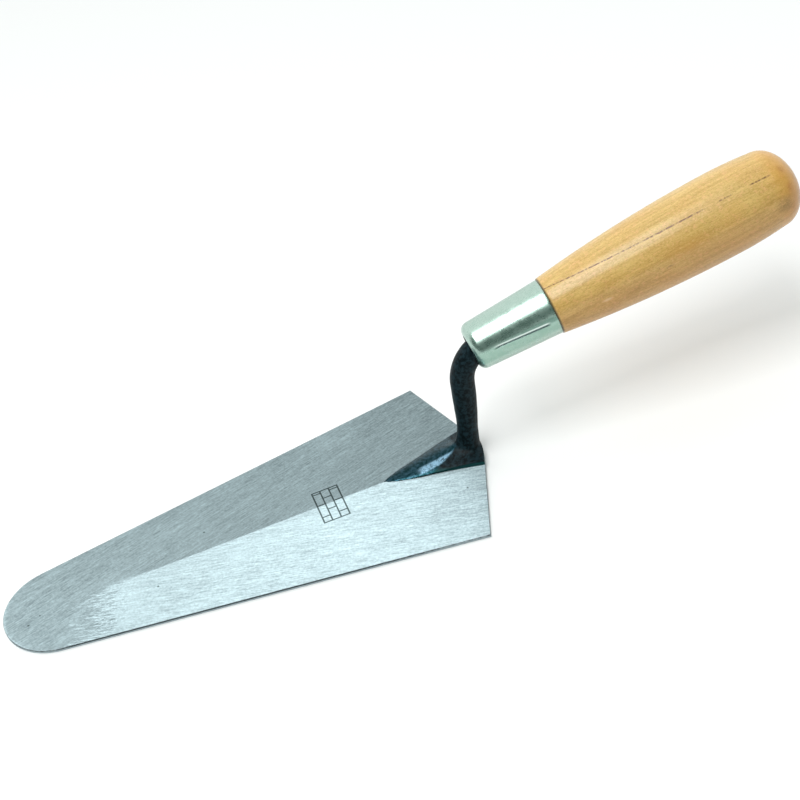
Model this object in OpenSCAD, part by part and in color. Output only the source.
// Round-nosed gauging trowel: ground steel blade, forged shank and tang, steel ferrule, turned wood handle.
// X runs from the nose to the handle and Z is up. The origin is at the middle of the blade's flat underside.

/* [Blade] */
// Length from the nose to where the two edges of the heel would meet
blade_l = 178; // [150:1:220]
// Width across the heel's corners
heel_w = 86; // [76:1:100]
// Distance from the heel's corners back to its point
heel_v = 13.5; // [8:0.5:18]
// Radius that blunts the heel's point
heel_r = 20; // [10:1:30]
// Radius of the round nose
nose_r = 20; // [14:1:26]
// Thickness along the long edges
edge_t = 1.2; // [0.8:0.1:2]
// Height of the middle ridge above the long edges, at the heel
ridge_rise = 0.8; // [0.4:0.1:1.5]

/* [Shank] */
// Length of the foot's wedge from its point to its corners
foot_l = 34.5; // [28:0.5:42]
// Width of the foot where it meets the heel
foot_w = 20.4; // [18:0.2:24]
// Height over which the foot flares into the neck
flare_h = 12; // [10:0.5:16]
// Diameter of the neck at its waist
waist_d = 7; // [6:0.1:8]
// Diameter of the neck from the bend onwards
neck_d = 8.5; // [8:0.1:9]
// Backward lean of the neck from the vertical
neck_lean = 5; // [2:0.5:8]
// Distance from the heel's point to the neck's axis, at the underside
neck_in = 5; // [4.5:0.1:5.5]
// Radius of the bend between the neck and the tang
bend_r = 15; // [14:0.5:17]
// Width of the square tang at its root
tang_w = 6; // [5:0.1:6]
// Length of the tang
tang_l = 72; // [50:1:85]

/* [Handle] */
// Upward pitch of the handle's axis
pitch = 10; // [8:0.5:13]
// Distance from the heel's point back to the ferrule's mouth
mouth_x = 3; // [2.5:0.1:3.5]
// Height of the ferrule's mouth centre above the underside
mouth_z = 44.8; // [42:0.1:48]
// Overall length of the ferrule and handle
grip_l = 125; // [115:1:140]
// Largest diameter of the handle
grip_d = 29.7; // [27:0.1:32]
// Diameter of the wood where it leaves the ferrule
collar_d = 20.8; // [20.6:0.1:22]
// Length of the rounded butt
butt_l = 10.4; // [9:0.1:12]

/* [Ferrule] */
// Length of the ferrule
ferrule_l = 30.5; // [26:0.5:34]
// Outer diameter behind the ferrule's rounded mouth
ferrule_front_d = 17.3; // [17:0.1:18]
// Outer diameter at the ferrule's wood end
ferrule_rear_d = 20.2; // [19.6:0.1:20.4]
// Outer radius of the rounded mouth
ferrule_round = 3; // [2:0.1:3]
// Wall thickness of the ferrule
ferrule_wall = 0.9; // [0.7:0.1:1]
// Diameter of the hole that the shank goes in through
mouth_d = 11.6; // [11.5:0.1:12]
// Distance of that hole's axis below the handle's axis
mouth_drop = 1.1; // [1.05:0.05:1.2]

/* [Hidden] */
$fn = 96;

heel_x = blade_l / 2;
half_w = heel_w / 2;
corner_x = heel_x - heel_v;

// Long edge: straight from the heel's corner to the circle of the nose
nose_x = nose_r - heel_x;
edge_reach = norm([corner_x - nose_x, half_w]);
edge_a = atan2(half_w, corner_x - nose_x) - asin(nose_r / edge_reach);

// Each half of the top face rises from its long edge to the ridge
ridge_dist = heel_v * sin(edge_a) + half_w * cos(edge_a);
ridge_slope = ridge_rise / ridge_dist;
face_tilt = atan(ridge_slope);

// Heel: two straight lines, blunted by an arc where they meet
heel_a = atan(heel_v / half_w);
heel_arc_x = heel_x - heel_r / cos(heel_a);

// Foot: a wedge on the top face, with its back flush with the heel
foot_half = foot_w / 2;
foot_x = heel_x - heel_v * foot_half / half_w;
foot_back = heel_x - foot_x;
SIDES = 32;
FLARE_POWER = 7;
FLARE_RINGS = 14;
FLARE_SPACING = 1.7;
NECK_RINGS = 7;
BEND_RINGS = 14;

// Neck and handle axes, both in the plane Y = 0, and the corner where they would cross
neck_dir = [sin(neck_lean), 0, cos(neck_lean)];
grip_dir = [cos(pitch), 0, sin(pitch)];
neck_foot = [heel_x - neck_in, 0, 0];
mouth = [heel_x + mouth_x, 0, mouth_z];
turn = 90 - neck_lean - pitch;
to_mouth = mouth - neck_foot;
neck_run = (to_mouth[0] * grip_dir[2] - to_mouth[2] * grip_dir[0])
    / (neck_dir[0] * grip_dir[2] - neck_dir[2] * grip_dir[0]);
axes_cross = neck_foot + neck_run * neck_dir;
bend_run = bend_r * tan(turn / 2);
bend_start = axes_cross - bend_run * neck_dir;
bend_centre = bend_start + bend_r * [cos(neck_lean), 0, -sin(neck_lean)];
tang_start = bend_run - norm(mouth - axes_cross);
TANG_TAPER = 0.5;
TANG_POINT = 6;

// Handle profile, measured along its axis from the ferrule's mouth
belly_s = 0.78 * grip_l;
BUTT_SLOPE = 0.0033;
butt_s = grip_l - butt_l;
butt_r = grip_d / 2 - BUTT_SLOPE * pow(butt_s - belly_s, 2);
COLLAR_BEVEL = 0.5;

// Height of the blade's top face above the underside
function top_z(x, y) = edge_t
    + ridge_slope * ((x - corner_x) * sin(edge_a) - (abs(y) - half_w) * cos(edge_a));

// Distance from the foot's middle to the rim of its footprint, in the direction a
function wedge_rim(a) = 1 / (-cos(a) / foot_l + abs(sin(a)) / foot_half);
function heel_line_rim(a) = 1 / (cos(a) / foot_back + abs(sin(a)) / foot_half);
function heel_arc_rim(a) = let (e = foot_x - heel_arc_x)
    sqrt(pow(heel_r, 2) - pow(e * sin(a), 2)) - e * cos(a);
function heel_rim(a) = abs(heel_line_rim(a) * sin(a)) > heel_r * sin(heel_a)
    ? heel_line_rim(a)
    : heel_arc_rim(a);
function foot_rim(a) = cos(a) < 0 ? wedge_rim(a) : heel_rim(a);

// Radius of the neck at a height: a waist above the foot that fills out towards the bend
function neck_r(z) = let (low = max(0, (bend_start[2] - z) / (bend_start[2] - flare_h)))
    neck_d / 2 - (neck_d - waist_d) / 2 * pow(min(1, low), 2);

// One ring of the foot at a height above the top face: footprint below, neck circle above
function foot_ring(h) = let (
    flare = pow(1 - h / flare_h, FLARE_POWER),
    axis_z = h + edge_t + ridge_rise,
    axis_x = neck_foot[0] + axis_z * tan(neck_lean),
    x0 = axis_x + flare * (foot_x - axis_x)
) [for (i = [0:SIDES - 1]) let (
    a = 360 * i / SIDES,
    r = neck_r(axis_z) + flare * (foot_rim(a) - neck_r(axis_z)),
    x = x0 + r * cos(a),
    y = r * sin(a),
    level = axis_z - (x - axis_x) * tan(neck_lean)
) [x, y, level + flare * (h + top_z(x, y) - level)]];

// One round ring about a point of the shank's axis, whose direction leans a from the vertical
function round_ring(p, r, lean) = [for (i = [0:SIDES - 1]) let (a = 360 * i / SIDES)
    p + r * [cos(a) * cos(lean), sin(a), -cos(a) * sin(lean)]];

function flare_height(i) = flare_h * pow(i / FLARE_RINGS, FLARE_SPACING);
flare_top = flare_h + edge_t + ridge_rise;
neck_low = neck_foot + flare_top / cos(neck_lean) * neck_dir;
function neck_point(t) = neck_low + t * (bend_start - neck_low);
function bend_point(a) = bend_centre + bend_r * [-cos(neck_lean + a), 0, sin(neck_lean + a)];

shank_rings = concat(
    [for (i = [0:FLARE_RINGS]) foot_ring(flare_height(i))],
    [for (i = [1:NECK_RINGS]) let (p = neck_point(i / NECK_RINGS)) round_ring(p, neck_r(p[2]), neck_lean)],
    [for (i = [1:BEND_RINGS]) let (a = turn * i / BEND_RINGS) round_ring(bend_point(a), neck_d / 2, neck_lean + a)]
);

// Closed skin through a list of rings; the lowest ring is capped on each side of the ridge
module ring_skin(rings) {
    last = len(rings) - 1;
    polyhedron(
        points = [for (ring = rings) each ring],
        faces = concat(
            [[for (i = [0:SIDES / 2]) i]],
            [[for (i = [SIDES / 2:SIDES]) i % SIDES]],
            [for (k = [1:last], i = [0:SIDES - 1]) let (
                a = (k - 1) * SIDES + i,
                b = (k - 1) * SIDES + (i + 1) % SIDES
            ) each [[a, a + SIDES, b], [b, a + SIDES, b + SIDES]]],
            [[for (i = [SIDES - 1:-1:0]) last * SIDES + i]]
        )
    );
}

// Puts a shape drawn along +Z from the ferrule's mouth onto the handle's axis
module on_grip_axis() {
    translate(mouth)
        rotate([0, 90 - pitch, 0])
            children();
}

module blade_outline() {
    translate([nose_x, 0])
        circle(r = nose_r);
    polygon(concat(
        [
            [nose_x - nose_r * sin(edge_a), -nose_r * cos(edge_a)],
            [corner_x, -half_w]
        ],
        [for (i = [-4:4]) let (a = heel_a * i / 4) [heel_arc_x + heel_r * cos(a), heel_r * sin(a)]],
        [
            [corner_x, half_w],
            [nose_x - nose_r * sin(edge_a), nose_r * cos(edge_a)]
        ]
    ));
}

// Everything above one half of the top face
module above_face(side) {
    reach = 2 * blade_l;
    mirror([0, side < 0 ? 1 : 0, 0])
        translate([corner_x, half_w, edge_t])
            rotate([0, 0, edge_a])
                rotate([-face_tilt, 0, 0])
                    translate([-reach, -reach, 0])
                        cube([2 * reach, 2 * reach, reach]);
}

module blade() {
    color("#cdd4d6")
        difference() {
            linear_extrude(height = edge_t + 2 * ridge_rise)
                blade_outline();
            above_face(1);
            above_face(-1);
        }
}

// Square spike that drives into the handle
module tang_spike() {
    on_grip_axis()
        translate([0, 0, tang_start]) {
            linear_extrude(height = tang_l - TANG_POINT, scale = TANG_TAPER)
                square(tang_w, center = true);
            translate([0, 0, tang_l - TANG_POINT])
                linear_extrude(height = TANG_POINT, scale = 0.3)
                    square(tang_w * TANG_TAPER, center = true);
        }
}

module shank() {
    color("#1c2523") {
        ring_skin(shank_rings);
        tang_spike();
    }
}

// The drilled pocket in which the shank finishes its bend
module mouth_bore(from, depth) {
    on_grip_axis()
        translate([mouth_drop, 0, from])
            cylinder(d = mouth_d, h = depth);
}

// Outline of the ferrule, or of the wood inside it when inset by the wall
module ferrule_half(inset) {
    front_r = ferrule_front_d / 2 - inset;
    rear_r = ferrule_rear_d / 2 - inset;
    round_r = ferrule_round - inset;
    polygon(concat(
        [[0, inset]],
        [for (a = [-90:15:0]) [front_r - round_r + round_r * cos(a), ferrule_round + round_r * sin(a)]],
        [[rear_r, ferrule_l], [0, ferrule_l]]
    ));
}

module ferrule() {
    color("#c7cecb")
        difference() {
            on_grip_axis()
                rotate_extrude()
                    difference() {
                        ferrule_half(0);
                        ferrule_half(ferrule_wall);
                    }
            mouth_bore(-1, ferrule_wall + 2);
        }
}

// Radius of the wood at a distance from the ferrule's mouth
function grip_r(s) = s < belly_s
    ? grip_d / 2 - (grip_d - collar_d) / 2 * pow((belly_s - s) / (belly_s - ferrule_l), 2)
    : grip_d / 2 - BUTT_SLOPE * pow(s - belly_s, 2);

module handle_half() {
    PROFILE_STEPS = 24;
    BUTT_STEPS = 12;
    polygon(concat(
        [[0, ferrule_l], [collar_d / 2 - COLLAR_BEVEL, ferrule_l]],
        [for (i = [0:PROFILE_STEPS]) let (
            s = ferrule_l + COLLAR_BEVEL + (butt_s - ferrule_l - COLLAR_BEVEL) * i / PROFILE_STEPS
        ) [grip_r(s), s]],
        [for (i = [1:BUTT_STEPS]) let (a = 90 * i / BUTT_STEPS) [butt_r * cos(a), butt_s + butt_l * sin(a)]]
    ));
    ferrule_half(ferrule_wall);
}

module handle() {
    color("#dcae72")
        difference() {
            on_grip_axis()
                rotate_extrude()
                    handle_half();
            mouth_bore(0, tang_start);
            tang_spike();
        }
}

blade();
shank();
ferrule();
handle();
